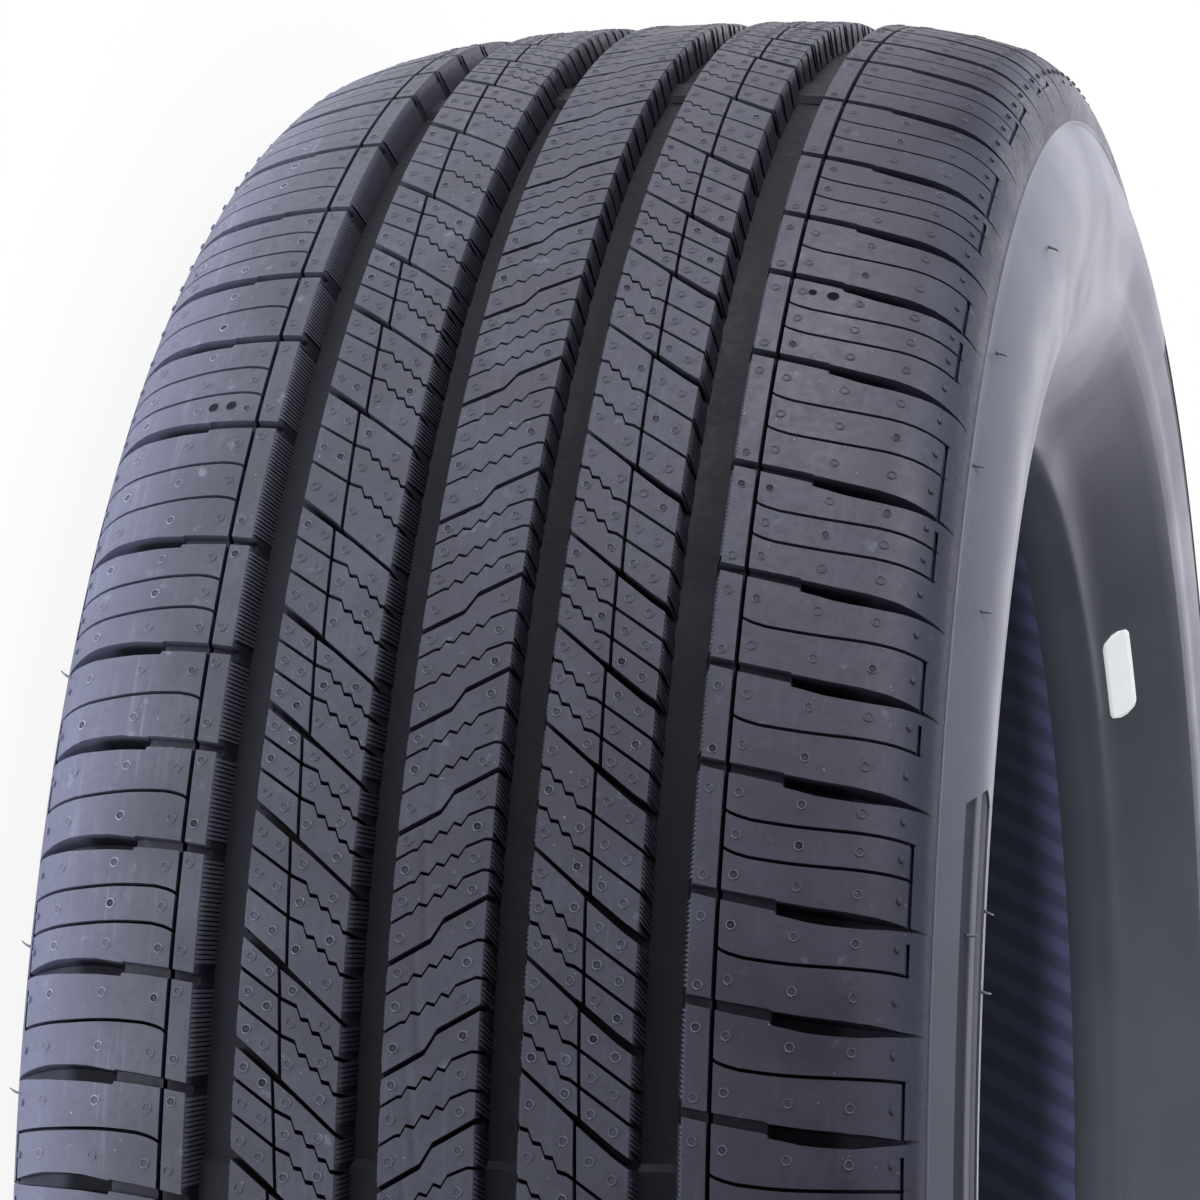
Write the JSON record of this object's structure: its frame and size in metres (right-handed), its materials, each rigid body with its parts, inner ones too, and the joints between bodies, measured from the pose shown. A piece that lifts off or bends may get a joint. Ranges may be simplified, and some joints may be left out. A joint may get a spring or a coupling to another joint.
{
  "type": "car tyre",
  "caption": "Radial car tyre with four wide ring grooves, slanted and kinked rib cuts, cross-grooved shoulders and open beads.",
  "frame": {"origin": "centre of the tyre: on the axle line, half-way between the two sidewalls", "axes": "+Z along the axle line; the tyre lies on the sidewall at -Z; +X is the side of the tread that the picture faces"},
  "size_m": [0.7046, 0.7046, 0.234],
  "materials": {
    "tyre": "satin moulded rubber, carbon black, with a faint blue-grey bloom"
  },
  "bodies": {
    "root": {"tyre": "tyre"}
  },
  "joints": []
}
